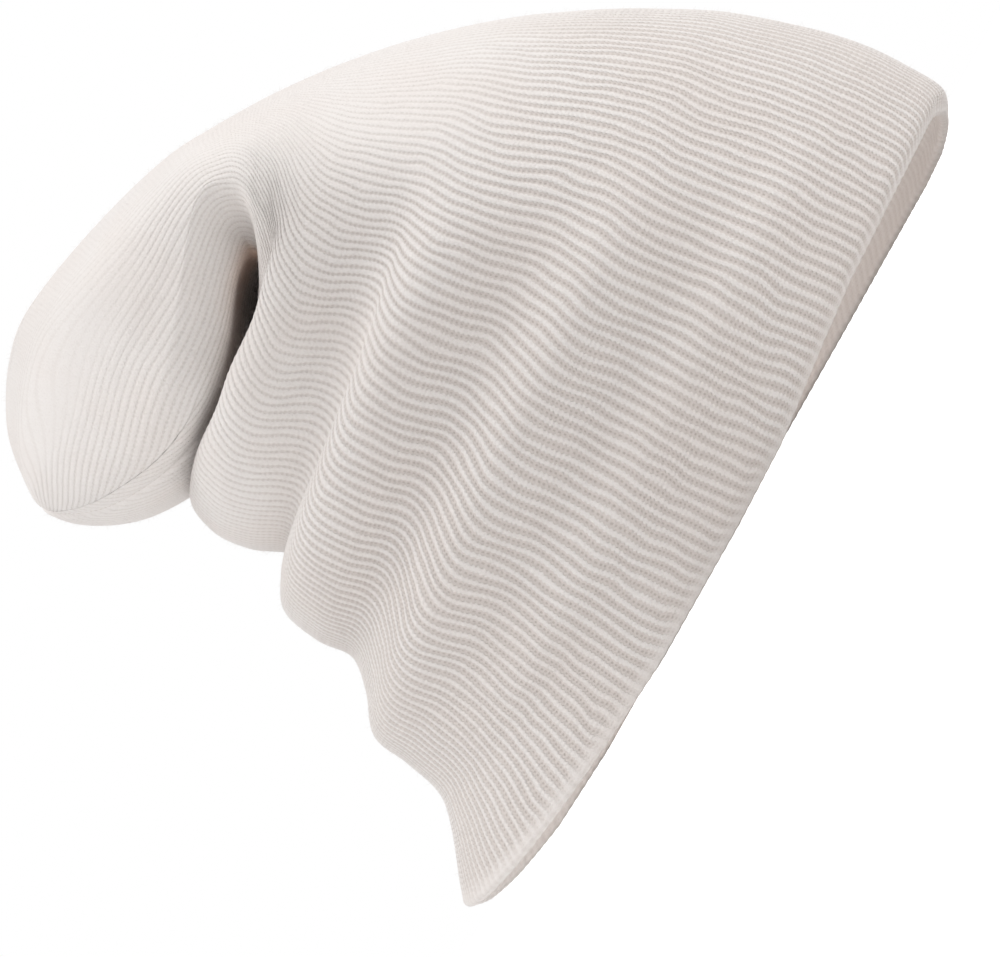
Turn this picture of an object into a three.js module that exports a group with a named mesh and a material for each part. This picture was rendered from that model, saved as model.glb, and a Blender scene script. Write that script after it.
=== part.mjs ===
// A slouched rib-knit hat resting on its brim. Millimetres, +Z up, +X to the front of the hat.
import * as THREE from "three";

const wallThickness = 2.4;
const edgeRound = 0.8;
const ringSteps = 60;
const arcSamples = 720;
const normalStep = 0.08;
const normalShare = 1 / 240;
const wallStep = 0.8;
const wallShare = 1 / 40;
const capReach = 45;
const roundPower = 2.1;
const frontShare = 0.25;
const seamRadius = 0.5;
const seamGap = 0.4;
const seamFirstRow = 23.4;
const seamLastRow = 29.2;
const seamSteps = 15;
const seamSides = 5;
const seamShares = [0.1, 0.35, 0.65, 0.9];
const centreShift = { x: -0.246, y: 0.264, z: 0 };

// One row per section from the brim to the crown tip. Front and back are the ends of the section
// in the hat's middle plane, halfDepth is its reach to either side, squareness its superellipse
// power at the back; the front is rounder. From turn on (1 front, -1 back) the depth narrows by
// taper. Plug bulges the back where the hanging end lies against the body.
const sectionColumns = ["frontX", "frontZ", "backX", "backZ", "halfDepth", "squareness", "taper", "turn", "plug"];
const sectionRows = [
  [103.9, 1.4, -108.7, 12.0, 76.5, 2.15, 0.00, 0.90, 0.0],
  [108.2, 6.2, -102.8, 16.4, 78.0, 2.20, 0.00, 0.90, 0.0],
  [108.6, 18.6, -94.5, 22.7, 80.0, 2.20, 0.00, 0.90, 0.0],
  [107.9, 29.0, -89.2, 28.7, 81.7, 2.20, 0.00, 0.90, 0.0],
  [105.4, 40.5, -86.8, 38.4, 83.0, 2.25, 0.00, 0.90, 0.0],
  [101.9, 51.7, -85.2, 48.1, 83.7, 2.25, 0.00, 0.90, 0.0],
  [97.8, 62.5, -77.3, 54.7, 84.0, 2.30, 0.00, 0.90, 0.0],
  [92.5, 72.7, -71.9, 61.4, 84.0, 2.30, 0.00, 0.90, 0.0],
  [86.9, 82.6, -72.5, 70.0, 83.5, 2.35, 0.00, 0.90, 0.0],
  [80.6, 92.3, -70.7, 79.7, 83.0, 2.35, 0.00, 0.85, 0.0],
  [74.7, 100.7, -64.5, 84.0, 82.0, 2.40, 0.00, 0.80, 0.0],
  [68.6, 108.1, -58.7, 85.9, 81.0, 2.40, 0.02, 0.75, 0.0],
  [62.5, 115.1, -62.0, 94.4, 80.5, 2.50, 0.04, 0.70, 0.0],
  [56.0, 121.1, -62.7, 103.3, 80.0, 2.60, 0.06, 0.60, 0.0],
  [49.9, 126.8, -58.4, 110.9, 79.5, 2.70, 0.08, 0.60, 0.0],
  [43.7, 131.6, -47.4, 107.4, 79.0, 2.90, 0.20, 0.65, 0.0],
  [37.6, 136.0, -35.4, 107.6, 78.5, 3.20, 0.27, 0.65, 0.0],
  [31.7, 139.9, -24.4, 109.8, 78.0, 3.40, 0.30, 0.60, 1.5],
  [25.4, 143.6, -14.5, 112.3, 77.5, 3.50, 0.32, 0.50, 3.0],
  [18.0, 147.8, -7.2, 114.7, 77.0, 3.50, 0.32, 0.40, 2.0],
  [8.4, 152.8, -5.6, 120.0, 76.5, 3.50, 0.32, 0.15, 0.5],
  [-4.3, 157.3, -12.3, 119.7, 75.5, 3.60, 0.30, -0.15, 2.5],
  [-18.3, 161.1, -23.5, 114.6, 74.0, 3.70, 0.27, -0.30, 3.0],
  [-32.1, 163.9, -35.2, 110.8, 71.0, 3.60, 0.24, -0.40, 0.5],
  [-42.7, 165.0, -46.1, 109.4, 64.5, 3.40, 0.20, -0.45, 0.0],
  [-51.6, 163.3, -56.2, 112.0, 55.5, 3.10, 0.16, -0.50, 0.0],
  [-59.5, 160.0, -65.8, 117.4, 45.0, 2.80, 0.12, -0.40, 0.0],
  [-66.4, 155.8, -72.1, 123.6, 33.5, 2.60, 0.08, -0.40, 0.0],
  [-71.4, 150.8, -76.6, 131.3, 21.0, 2.40, 0.04, -0.40, 0.0],
  [-75.5, 145.6, -78.2, 138.3, 9.0, 2.10, 0.00, -0.40, 0.0],
  [-77.2, 143.1, -77.6, 141.9, 1.0, 2.00, 0.00, -0.40, 0.0],
];

// Height of the brim edge around the hat: angle in degrees (0 front, 90 near side, 180 back), height.
const brimHeights = [
  [0, 4.6], [9, 5.8], [15, 7.0], [22, 7.0], [35, 6.4], [45, 5.9], [58, 5.0], [67, 3.5], [73, 2.2],
  [80, 0.6], [90, 0], [107, 0.1], [116, 1.2], [125, 2.5], [135, 4.1], [146, 6.1], [156, 8.0],
  [168, 10.0], [180, 11.6], [192, 8.0], [205, 5.0], [220, 2.0], [240, 0], [300, 0], [330, 0.3],
  [340, 0.9], [350, 2.6], [360, 4.6],
];

// Folds that run round the hat: the row each follows, height, width in rows, the angles between
// which it fades in and out, and its share and shift on the far side.
const foldColumns = ["row", "height", "width", "start", "full", "fade", "end", "farShare", "farShift"];
const foldRows = [
  [13.3, 1.4, 0.9, 76, 92, 105, 150, 0.7, 0.1],
  [11.4, -5.5, 1.3, 50, 80, 100, 155, 0.8, 0.2],
  [8.9, 2.2, 0.9, 60, 90, 120, 165, 0.9, 0.3],
  [7.1, -1.8, 0.85, 60, 85, 120, 165, 1, 0.3],
  [5.4, 2.8, 0.8, 50, 80, 120, 165, 0.8, 0.2],
  [4.1, -1.6, 0.6, 50, 80, 120, 165, 0.8, 0.2],
  [3.2, 0.7, 0.5, 50, 80, 115, 160, 1, 0],
];

// Folds that run down the hanging end: angle, height, width in degrees, and the rows between
// which each fades in and out.
const lengthFoldColumns = ["angle", "height", "width", "start", "full", "fade", "end"];
const lengthFoldRows = [
  [82, -1.6, 15, 17.5, 20, 23, 27],
  [118, 1.2, 12, 18.5, 21, 24, 28],
];

// Rows at which the outer and the inner face have a ring of points, closer where the cloth folds.
const bandColumns = ["from", "to", "step"];
const outerBands = [
  [0.5, 24, 0.5],
  [24.7, 29.5, 0.8],
];
const innerBands = [
  [1, 9, 1],
  [9.5, 12, 0.5],
  [13, 19, 1],
  [19.5, 21, 0.5],
  [22, 24, 1],
  [25.2, 28.8, 1.2],
];

function toRecords(columns, rows) {
  return rows.map((row) => Object.fromEntries(columns.map((name, index) => [name, row[index]])));
}

function rowsOf(bands) {
  const rows = [];
  for (const { from, to, step } of bands) {
    const count = Math.round((to - from) / step);
    for (let k = 0; k <= count; k += 1) rows.push(from + k * step);
  }
  return rows;
}

const sections = toRecords(sectionColumns, sectionRows);
const outerRows = rowsOf(toRecords(bandColumns, outerBands));
const innerRows = rowsOf(toRecords(bandColumns, innerBands)).reverse();
const folds = toRecords(foldColumns, foldRows);
const lengthFolds = toRecords(lengthFoldColumns, lengthFoldRows);

function clamp01(value) {
  return Math.min(1, Math.max(0, value));
}

function ease(value) {
  const v = clamp01(value);
  return v * v * (3 - 2 * v);
}

function heightAt(table, key) {
  for (let i = 1; i < table.length; i += 1) {
    if (key <= table[i][0]) {
      const share = (key - table[i - 1][0]) / (table[i][0] - table[i - 1][0]);
      return table[i - 1][1] + share * (table[i][1] - table[i - 1][1]);
    }
  }
  return table[table.length - 1][1];
}

// A section at any row, on a smooth curve through the table.
function sectionAt(row) {
  const last = sections.length - 1;
  const index = Math.min(Math.max(Math.floor(row), 0), last - 1);
  const f = row - index;
  const section = {};
  for (const name of sectionColumns) {
    const b = sections[index][name];
    const c = sections[index + 1][name];
    const a = index > 0 ? sections[index - 1][name] : 2 * b - c;
    const d = index + 2 <= last ? sections[index + 2][name] : 2 * c - b;
    section[name] = 0.5 * (2 * b + (c - a) * f + (2 * a - 5 * b + 4 * c - d) * f * f
      + (3 * b - a - 3 * c + d) * f * f * f);
  }
  section.row = row;
  section.halfDepth = Math.max(section.halfDepth, 0.8);
  return section;
}

function power(value, squareness) {
  return Math.sign(value) * Math.abs(value) ** (2 / squareness);
}

// The plain section curve at an angle, before the brim's sag and the folds.
function sectionPoint(section, angle) {
  const inFront = Math.cos(angle) > 0;
  const frontSquareness = roundPower + (section.squareness - roundPower) * frontShare;
  const squareness = inFront ? frontSquareness : section.squareness;
  const along = power(Math.cos(angle), squareness);
  const across = power(Math.sin(angle), squareness);
  const narrowing = clamp01((section.turn - along) / (section.turn + 1)) ** 1.5;
  const y = -across * section.halfDepth * (1 - section.taper * narrowing);
  const halfX = (section.frontX - section.backX) / 2;
  const halfZ = (section.frontZ - section.backZ) / 2;
  const halfLength = Math.hypot(halfX, halfZ);
  const cap = clamp01(1 - (y / capReach) ** 2) ** 2 * ease(-2 * Math.cos(angle));
  const reach = along - (cap * section.plug) / halfLength;
  return new THREE.Vector3(
    (section.frontX + section.backX) / 2 + reach * halfX,
    y,
    (section.frontZ + section.backZ) / 2 + reach * halfZ,
  );
}

const ringCache = new Map();

// Section curve with a running length, so that points can be spaced evenly round it.
function ringAt(row) {
  const key = row.toFixed(4);
  if (!ringCache.has(key)) {
    const section = sectionAt(row);
    const lengths = [0];
    let previous = sectionPoint(section, 0);
    for (let i = 1; i <= arcSamples; i += 1) {
      const point = sectionPoint(section, (2 * Math.PI * i) / arcSamples);
      lengths.push(lengths[i - 1] + point.distanceTo(previous));
      previous = point;
    }
    ringCache.set(key, { section, lengths, total: lengths[arcSamples] });
  }
  return ringCache.get(key);
}

function angleAt(ring, share) {
  const wanted = (share - Math.floor(share)) * ring.total;
  let low = 0;
  let high = arcSamples;
  while (high - low > 1) {
    const middle = (low + high) >> 1;
    if (ring.lengths[middle] <= wanted) low = middle;
    else high = middle;
  }
  const span = ring.lengths[high] - ring.lengths[low];
  return ((low + (wanted - ring.lengths[low]) / span) * 2 * Math.PI) / arcSamples;
}

// The section curve with the brim's sag: share runs 0 to 1 round the hat from its front.
function basePoint(row, share) {
  const ring = ringAt(row);
  const angle = angleAt(ring, share);
  const point = sectionPoint(ring.section, angle);
  const chord = sectionPoint(sections[0], angle).z;
  const wideSag = -chord * Math.sin(angle) ** 2;
  const edgeSag = heightAt(brimHeights, THREE.MathUtils.radToDeg(angle)) - chord;
  point.z += wideSag * ease(1 - row / 7) + (edgeSag - wideSag) * ease(1 - row / 2.6);
  return { point, degrees: THREE.MathUtils.radToDeg(angle) };
}

function reliefAt(row, degrees) {
  const side = Math.min(degrees, 360 - degrees);
  const far = degrees > 180;
  let height = 0;
  for (const fold of folds) {
    const q = (row - fold.row - (far ? fold.farShift : 0)) / fold.width;
    const fadeIn = ease((side - fold.start) / (fold.full - fold.start));
    const fadeOut = ease((fold.end - side) / (fold.end - fold.fade));
    height += fold.height * Math.exp(-q * q) * fadeIn * fadeOut * (far ? fold.farShare : 1);
  }
  for (const fold of lengthFolds) {
    const q = (side - fold.angle) / fold.width;
    const fadeIn = ease((row - fold.start) / (fold.full - fold.start));
    const fadeOut = ease((fold.end - row) / (fold.end - fold.fade));
    height += fold.height * Math.exp(-q * q) * fadeIn * fadeOut;
  }
  return height;
}

function normalOf(pointAt, row, share, rowStep = normalStep, shareStep = normalShare) {
  const below = pointAt(Math.max(row - rowStep, 0), share);
  const above = pointAt(row + rowStep, share);
  const before = pointAt(row, share - shareStep);
  const after = pointAt(row, share + shareStep);
  return above.sub(below).cross(after.sub(before)).normalize();
}

const plainPoint = (row, share) => basePoint(row, share).point;

function clothPoint(row, share) {
  const { point, degrees } = basePoint(row, share);
  return point.addScaledVector(normalOf(plainPoint, row, share), reliefAt(row, degrees));
}

const clothNormal = (row, share) => normalOf(clothPoint, row, share);
const wallNormal = (row, share) => normalOf(clothPoint, row, share, wallStep, wallShare);

// A closed body from rings of equal count, capped by a fan at either end.
function bodyFromRings(rings, firstCap, lastCap) {
  const positions = [];
  const faces = [];
  const count = rings[0].length;
  rings.forEach((ring) => ring.forEach((point) => positions.push(point.x, point.y, point.z)));
  for (let k = 0; k + 1 < rings.length; k += 1) {
    for (let j = 0; j < count; j += 1) {
      const a = k * count + j;
      const b = k * count + ((j + 1) % count);
      faces.push(a, b + count, b, a, a + count, b + count);
    }
  }
  const firstIndex = positions.length / 3;
  positions.push(firstCap.x, firstCap.y, firstCap.z, lastCap.x, lastCap.y, lastCap.z);
  const top = (rings.length - 1) * count;
  for (let j = 0; j < count; j += 1) {
    const next = (j + 1) % count;
    faces.push(firstIndex, j, next, firstIndex + 1, top + next, top + j);
  }
  const geometry = new THREE.BufferGeometry();
  geometry.setAttribute("position", new THREE.Float32BufferAttribute(positions, 3));
  geometry.setIndex(faces);
  geometry.translate(centreShift.x, centreShift.y, centreShift.z);
  geometry.computeVertexNormals();
  return geometry;
}

function middleOf(points) {
  const sum = points.reduce((total, point) => total.add(point), new THREE.Vector3());
  return sum.divideScalar(points.length);
}

// Turned edge of the brim: from the outer face round under to the inner face. Where the brim
// rests on the ground the edge has a flat strip at zero height.
function brimEdgeRings(shares) {
  const rings = [[], [], [], []];
  for (const share of shares) {
    const { point: edge, degrees } = basePoint(0, share);
    const along = clothPoint(0.1, share).sub(edge).normalize();
    const across = clothNormal(0, share);
    across.z *= clamp01(heightAt(brimHeights, degrees) / 6);
    across.normalize();
    rings[0].push(edge.clone().addScaledVector(across, -wallThickness).addScaledVector(along, edgeRound));
    rings[1].push(edge.clone().addScaledVector(across, edgeRound - wallThickness));
    rings[2].push(edge.clone().addScaledVector(across, -edgeRound));
    rings[3].push(edge.clone().addScaledVector(along, edgeRound));
  }
  return rings;
}

function buildShell() {
  const shares = Array.from({ length: ringSteps }, (unused, j) => j / ringSteps);
  const rings = [];
  for (const row of innerRows) {
    rings.push(shares.map((share) => clothPoint(row, share)
      .addScaledVector(wallNormal(row, share), -wallThickness)));
  }
  rings.push(...brimEdgeRings(shares));
  for (const row of outerRows) {
    rings.push(shares.map((share) => clothPoint(row, share)));
  }
  const tip = sections[sections.length - 1];
  const tipPoint = new THREE.Vector3((tip.frontX + tip.backX) / 2, 0, (tip.frontZ + tip.backZ) / 2);
  return bodyFromRings(rings, middleOf(rings[0]), tipPoint);
}

// A round seam thread that follows one closing line of the crown.
function buildSeam(share) {
  const centres = [];
  for (let k = 0; k <= seamSteps; k += 1) {
    const row = seamFirstRow + ((seamLastRow - seamFirstRow) * k) / seamSteps;
    const normal = clothNormal(row, share);
    centres.push({ normal, point: clothPoint(row, share).addScaledVector(normal, seamGap + seamRadius) });
  }
  const rings = centres.map(({ point, normal }, k) => {
    const before = centres[Math.max(k - 1, 0)].point;
    const after = centres[Math.min(k + 1, seamSteps)].point;
    const along = after.clone().sub(before).normalize();
    const side = new THREE.Vector3().crossVectors(along, normal).normalize();
    const up = new THREE.Vector3().crossVectors(side, along);
    return Array.from({ length: seamSides }, (unused, j) => {
      const angle = (2 * Math.PI * j) / seamSides;
      return point.clone()
        .addScaledVector(side, seamRadius * Math.cos(angle))
        .addScaledVector(up, seamRadius * Math.sin(angle));
    });
  });
  return bodyFromRings(rings, centres[0].point, centres[seamSteps].point);
}

const knitMaterial = new THREE.MeshStandardMaterial({ color: 0xe6e1de, roughness: 0.95, metalness: 0 });
const seamMaterial = new THREE.MeshStandardMaterial({ color: 0xdcd6d2, roughness: 0.95, metalness: 0 });

function addPiece(group, name, geometry, material) {
  const mesh = new THREE.Mesh(geometry, material);
  mesh.name = name;
  group.add(mesh);
}

const group = new THREE.Group();
addPiece(group, "knit_shell", buildShell(), knitMaterial);
seamShares.forEach((share, index) => {
  addPiece(group, `dart_seam_${index + 1}`, buildSeam(share), seamMaterial);
});

export default group;
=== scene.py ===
import math

import bpy
import numpy as np
from mathutils import Matrix, Vector


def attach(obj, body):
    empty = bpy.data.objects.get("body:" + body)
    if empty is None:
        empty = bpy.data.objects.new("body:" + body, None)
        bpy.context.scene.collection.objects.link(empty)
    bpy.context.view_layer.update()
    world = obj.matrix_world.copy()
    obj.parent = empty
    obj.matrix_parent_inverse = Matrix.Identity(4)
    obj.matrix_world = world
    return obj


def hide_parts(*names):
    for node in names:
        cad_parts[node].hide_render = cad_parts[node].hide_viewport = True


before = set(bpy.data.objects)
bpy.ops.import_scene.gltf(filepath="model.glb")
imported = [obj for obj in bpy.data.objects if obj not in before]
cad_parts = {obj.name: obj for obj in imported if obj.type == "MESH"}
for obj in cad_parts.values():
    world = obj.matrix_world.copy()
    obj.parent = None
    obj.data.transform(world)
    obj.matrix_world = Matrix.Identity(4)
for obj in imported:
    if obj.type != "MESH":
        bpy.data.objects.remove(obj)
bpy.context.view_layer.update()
print("stage: frame loaded")

mm = 0.001  # metres


def addObject(name, data):
    made = bpy.data.objects.new(name, data)
    bpy.context.scene.collection.objects.link(made)
    return made


# Camera: the photo looks almost level at the hat's near side, with the picture turned on its corner.
photoView = {
    "eye": (-0.0199, -1.5, 0.0081),
    "target": (-0.0199, 0.0, 0.0526),
    "pictureRight": (0.4946, 0.0, -0.8691),
    "seenWidth": 0.230,  # metres across the picture at the hat
    "sensor": 36.0,  # mm
    "clip": (0.05, 50.0),  # metres
}


def makeCamera(view):
    eye, target = Vector(view["eye"]), Vector(view["target"])
    away = (eye - target).normalized()
    right = Vector(view["pictureRight"])
    right = (right - away * right.dot(away)).normalized()
    up = away.cross(right)
    data = bpy.data.cameras.new("photoCamera")
    data.sensor_width = view["sensor"]
    data.lens = view["sensor"] * (eye - target).length / view["seenWidth"]
    data.clip_start, data.clip_end = view["clip"]
    camera = addObject("photoCamera", data)
    camera.matrix_world = Matrix((
        (right.x, up.x, away.x, eye.x),
        (right.y, up.y, away.y, eye.y),
        (right.z, up.z, away.z, eye.z),
        (0.0, 0.0, 0.0, 1.0),
    ))
    bpy.context.scene.camera = camera


makeCamera(photoView)

# The hat's form in millimetres. One row per section from the brim to the crown tip: frontX, frontZ,
# backX and backZ (its ends in the middle plane), halfDepth, squareness, taper and turn (how far the
# back narrows, and from where), plug (how far the back bulges under the hanging end).
hatForm = {
    "rows": (
        (103.9, 1.4, -108.7, 12.0, 76.5, 2.15, 0.00, 0.90, 0.0),
        (108.2, 6.2, -102.8, 16.4, 78.0, 2.20, 0.00, 0.90, 0.0),
        (108.6, 18.6, -94.5, 22.7, 80.0, 2.20, 0.00, 0.90, 0.0),
        (107.9, 29.0, -89.2, 28.7, 81.7, 2.20, 0.00, 0.90, 0.0),
        (105.4, 40.5, -86.8, 38.4, 83.0, 2.25, 0.00, 0.90, 0.0),
        (101.9, 51.7, -85.2, 48.1, 83.7, 2.25, 0.00, 0.90, 0.0),
        (97.8, 62.5, -77.3, 54.7, 84.0, 2.30, 0.00, 0.90, 0.0),
        (92.5, 72.7, -71.9, 61.4, 84.0, 2.30, 0.00, 0.90, 0.0),
        (86.9, 82.6, -72.5, 70.0, 83.5, 2.35, 0.00, 0.90, 0.0),
        (80.6, 92.3, -70.7, 79.7, 83.0, 2.35, 0.00, 0.85, 0.0),
        (74.7, 100.7, -64.5, 84.0, 82.0, 2.40, 0.00, 0.80, 0.0),
        (68.6, 108.1, -58.7, 85.9, 81.0, 2.40, 0.02, 0.75, 0.0),
        (62.5, 115.1, -62.0, 94.4, 80.5, 2.50, 0.04, 0.70, 0.0),
        (56.0, 121.1, -62.7, 103.3, 80.0, 2.60, 0.06, 0.60, 0.0),
        (49.9, 126.8, -58.4, 110.9, 79.5, 2.70, 0.08, 0.60, 0.0),
        (43.7, 131.6, -47.4, 107.4, 79.0, 2.90, 0.20, 0.65, 0.0),
        (37.6, 136.0, -35.4, 107.6, 78.5, 3.20, 0.27, 0.65, 0.0),
        (31.7, 139.9, -24.4, 109.8, 78.0, 3.40, 0.30, 0.60, 1.5),
        (25.4, 143.6, -14.5, 112.3, 77.5, 3.50, 0.32, 0.50, 3.0),
        (18.0, 147.8, -7.2, 114.7, 77.0, 3.50, 0.32, 0.40, 2.0),
        (8.4, 152.8, -5.6, 120.0, 76.5, 3.50, 0.32, 0.15, 0.5),
        (-4.3, 157.3, -12.3, 119.7, 75.5, 3.60, 0.30, -0.15, 2.5),
        (-18.3, 161.1, -23.5, 114.6, 74.0, 3.70, 0.27, -0.30, 3.0),
        (-32.1, 163.9, -35.2, 110.8, 71.0, 3.60, 0.24, -0.40, 0.5),
        (-42.7, 165.0, -46.1, 109.4, 64.5, 3.40, 0.20, -0.45, 0.0),
        (-51.6, 163.3, -56.2, 112.0, 55.5, 3.10, 0.16, -0.50, 0.0),
        (-59.5, 160.0, -65.8, 117.4, 45.0, 2.80, 0.12, -0.40, 0.0),
        (-66.4, 155.8, -72.1, 123.6, 33.5, 2.60, 0.08, -0.40, 0.0),
        (-71.4, 150.8, -76.6, 131.3, 21.0, 2.40, 0.04, -0.40, 0.0),
        (-75.5, 145.6, -78.2, 138.3, 9.0, 2.10, 0.00, -0.40, 0.0),
        (-77.2, 143.1, -77.6, 141.9, 1.0, 2.00, 0.00, -0.40, 0.0),
    ),
    # height of the brim edge by angle: 0 front, 90 near side, 180 back
    "brimHeights": (
        (0, 4.6), (9, 5.8), (15, 7.0), (22, 7.0), (35, 6.4), (45, 5.9), (58, 5.0), (67, 3.5), (73, 2.2),
        (80, 0.6), (90, 0), (107, 0.1), (116, 1.2), (125, 2.5), (135, 4.1), (146, 6.1), (156, 8.0),
        (168, 10.0), (180, 11.6), (192, 8.0), (205, 5.0), (220, 2.0), (240, 0), (300, 0), (330, 0.3),
        (340, 0.9), (350, 2.6), (360, 4.6),
    ),
    # folds round the hat: row, height, width, angles of start, full, fade and end, and on the far
    # side the share of the height and the shift in rows
    "folds": (
        (13.3, 1.4, 0.9, 82, 96, 106, 150, 0.7, 0.1),
        (11.4, -5.5, 1.3, 60, 88, 100, 155, 0.8, 0.2),
        (8.9, 2.2, 0.9, 60, 90, 120, 165, 0.9, 0.3),
        (7.1, -1.8, 0.85, 60, 85, 120, 165, 1.0, 0.3),
        (5.4, 2.8, 0.8, 50, 80, 120, 165, 0.8, 0.2),
        (4.1, -1.6, 0.6, 50, 80, 120, 165, 0.8, 0.2),
        (3.0, 1.6, 0.55, 35, 62, 115, 160, 0.6, 0.0),
    ),
    # folds down the hanging end: angle, height, width, rows of start, full, fade and end
    "lengthFolds": (
        (82, -1.6, 15, 17.5, 20, 23, 27),
        (118, 1.2, 12, 18.5, 21, 24, 28),
    ),
    "centreShift": (-0.246, 0.264, 0.0),
    "roundPower": 2.1,  # squareness of the roundest front half
    "frontShare": 0.25,  # share of a section's further squareness that its front half takes
    "narrowPower": 1.5,
    "leastHalfDepth": 0.8,
    "capReach": 45.0,  # how far to either side of the middle the back bulges
    "capFade": 2.0,
    "sweepSteps": 1441,  # points on a section when its length is measured
    "sagRows": (7.0, 2.6),  # rows over which the brim's wide sag and the line of its edge fade
}

# The knitting: ribs run from the brim to the crown, on a grid of rows and columns.
knitting = {
    "ribs": 196,
    "columnsPerRib": 6,
    "rowCount": 290,
    "firstRow": 0.1,
    "lastRow": 29.8,
    "courseStep": 1.15,  # mm between stitches along a rib
    "openRows": (4.0, 15.0),  # ribs are stretched open below the first row and closed above the second
    "sectors": 4,  # pieces of the outer face
    "tipOffset": (-0.3, 0.0, 0.0),  # mm from the last row's middle to the point that closes it
}

# How the ribs lie. skew, sideLean and nearGather are in radians round the hat, brimLean and the fan
# are shares of the way round.
ribCourse = {
    "skew": ((0, 0.03), (3, 0.06), (7, 0.06), (12, 0.06), (16, 0.0), (20, -0.12), (24, -0.22), (30, -0.22)),
    "sideLean": (
        (0, -0.02), (5, -0.04), (9, -0.04), (12, -0.08), (15.5, -0.18), (20, -0.18), (30, -0.18),
    ),
    "brimLean": ((0, 0.020), (1, 0.0113), (2, 0.0039), (3, 0.0)),
    "nearGather": 0.08,  # the ribs crowd towards the near side in the hat's middle
    "nearGatherRows": (5.0, 12.0, 17.0, 22.0),
    "fanShift": 0.046,  # the hanging end's ribs fan out to its outer edge
    "fanRows": (19.5, 25.5),
    "fanShares": (0.0, 0.13, 0.225, 0.31),
    "wobble": 0.075,  # share of a rib by which the ribs wander
    "wobbleSeed": 7,
    "wobbleReach": ((2, 4), (6, 20)),  # rows and columns of the fine and of the wide wander
    "wobbleFade": 5.0,  # rows past the fan's start after which little wander is left
    "wobbleLeft": 0.2,
    "wobbleLastRow": 28,
}

# Four darts close the end. Their seams start at one row and run to the tip.
darts = {
    "row": 23.2,
    "shares": (0.10, 0.35, 0.65, 0.90),  # places round the hat
    "depth": 0.7,  # mm that a seam lies below the cloth
    "dipWidth": 1.6,  # mm
    "dipLead": 0.4,  # rows before the start where the dip begins, and rows to its full depth
    "dipRows": 2.2,
    "noSeam": 99.0,  # mm, for cloth with no seam near
    "leadRows": 0.6,  # rows before the start from where distances count
    "startGap": 8.0,  # mm added to the distance at the start, and the rows over which it goes
    "startRows": (0.2, 0.8),
    "searchShares": (-0.2, 1.2, 2801),  # first, last and count of the shares among which a rib is found
}

rowsUp = np.linspace(knitting["firstRow"], knitting["lastRow"], knitting["rowCount"])
columnCount = knitting["ribs"] * knitting["columnsPerRib"]
ribShares = np.arange(columnCount) / columnCount


def ease(value):
    v = np.clip(value, 0.0, 1.0)
    return v * v * (3 - 2 * v)


def plateau(value, start, full, fade, end):
    return ease((value - start) / (full - start)) * ease((end - value) / (end - fade))


def unit(vectors):
    return vectors / (np.linalg.norm(vectors, axis=-1, keepdims=True) + 1e-12)


def catmull(values, at):
    v = np.asarray(values, float)
    index = np.clip(at.astype(int), 0, len(v) - 2)
    f = (at - index)[:, None]
    padded = np.vstack([2 * v[0] - v[1], v, 2 * v[-1] - v[-2]])
    a, b, c, d = padded[index], padded[index + 1], padded[index + 2], padded[index + 3]
    lower = 2 * b + (c - a) * f + (2 * a - 5 * b + 4 * c - d) * f * f
    return 0.5 * (lower + (3 * b - a - 3 * c + d) * f ** 3)


def signedPower(value, squareness):
    return np.sign(value) * np.abs(value) ** (2 / squareness)


def sectionCurve(section, angles):
    # points of a section by angle: 0 front, a quarter turn near side, half a turn back
    frontX, frontZ, backX, backZ, halfDepth, squareness, taper, turn, plug = section
    frontPower = hatForm["roundPower"] + (squareness - hatForm["roundPower"]) * hatForm["frontShare"]
    power = np.where(np.cos(angles) > 0, frontPower, squareness)
    along = signedPower(np.cos(angles), power)
    across = signedPower(np.sin(angles), power)
    narrowing = np.clip((turn - along) / (turn + 1), 0, 1) ** hatForm["narrowPower"]
    y = -across * max(halfDepth, hatForm["leastHalfDepth"]) * (1 - taper * narrowing)
    halfX, halfZ = (frontX - backX) / 2, (frontZ - backZ) / 2
    cap = np.clip(1 - (y / hatForm["capReach"]) ** 2, 0, 1) ** 2
    cap = cap * ease(-hatForm["capFade"] * np.cos(angles))
    reach = along - cap * plug / math.hypot(halfX, halfZ)
    return np.stack([(frontX + backX) / 2 + reach * halfX, y, (frontZ + backZ) / 2 + reach * halfZ], -1)


def valueAt(table, row):
    knots, values = np.array(table, float).T
    i = int(np.clip(np.searchsorted(knots, row) - 1, 0, len(knots) - 2))
    return values[i] + (values[i + 1] - values[i]) * ease((row - knots[i]) / (knots[i + 1] - knots[i]))


def arcShare(rib, row):
    # where a rib stands on its ring, as a share of the ring's length; rib is its share at the brim
    turn = 2 * np.pi * rib
    gather = ribCourse["nearGather"] * plateau(row, *ribCourse["nearGatherRows"])
    skewed = valueAt(ribCourse["skew"], row) * np.sin(turn)
    leaned = valueAt(ribCourse["sideLean"], row) * (np.sin(turn) - 0.5 * np.sin(2 * turn))
    return rib + (skewed + leaned + gather * (np.cos(turn) - 1)) / (2 * np.pi)


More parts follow.
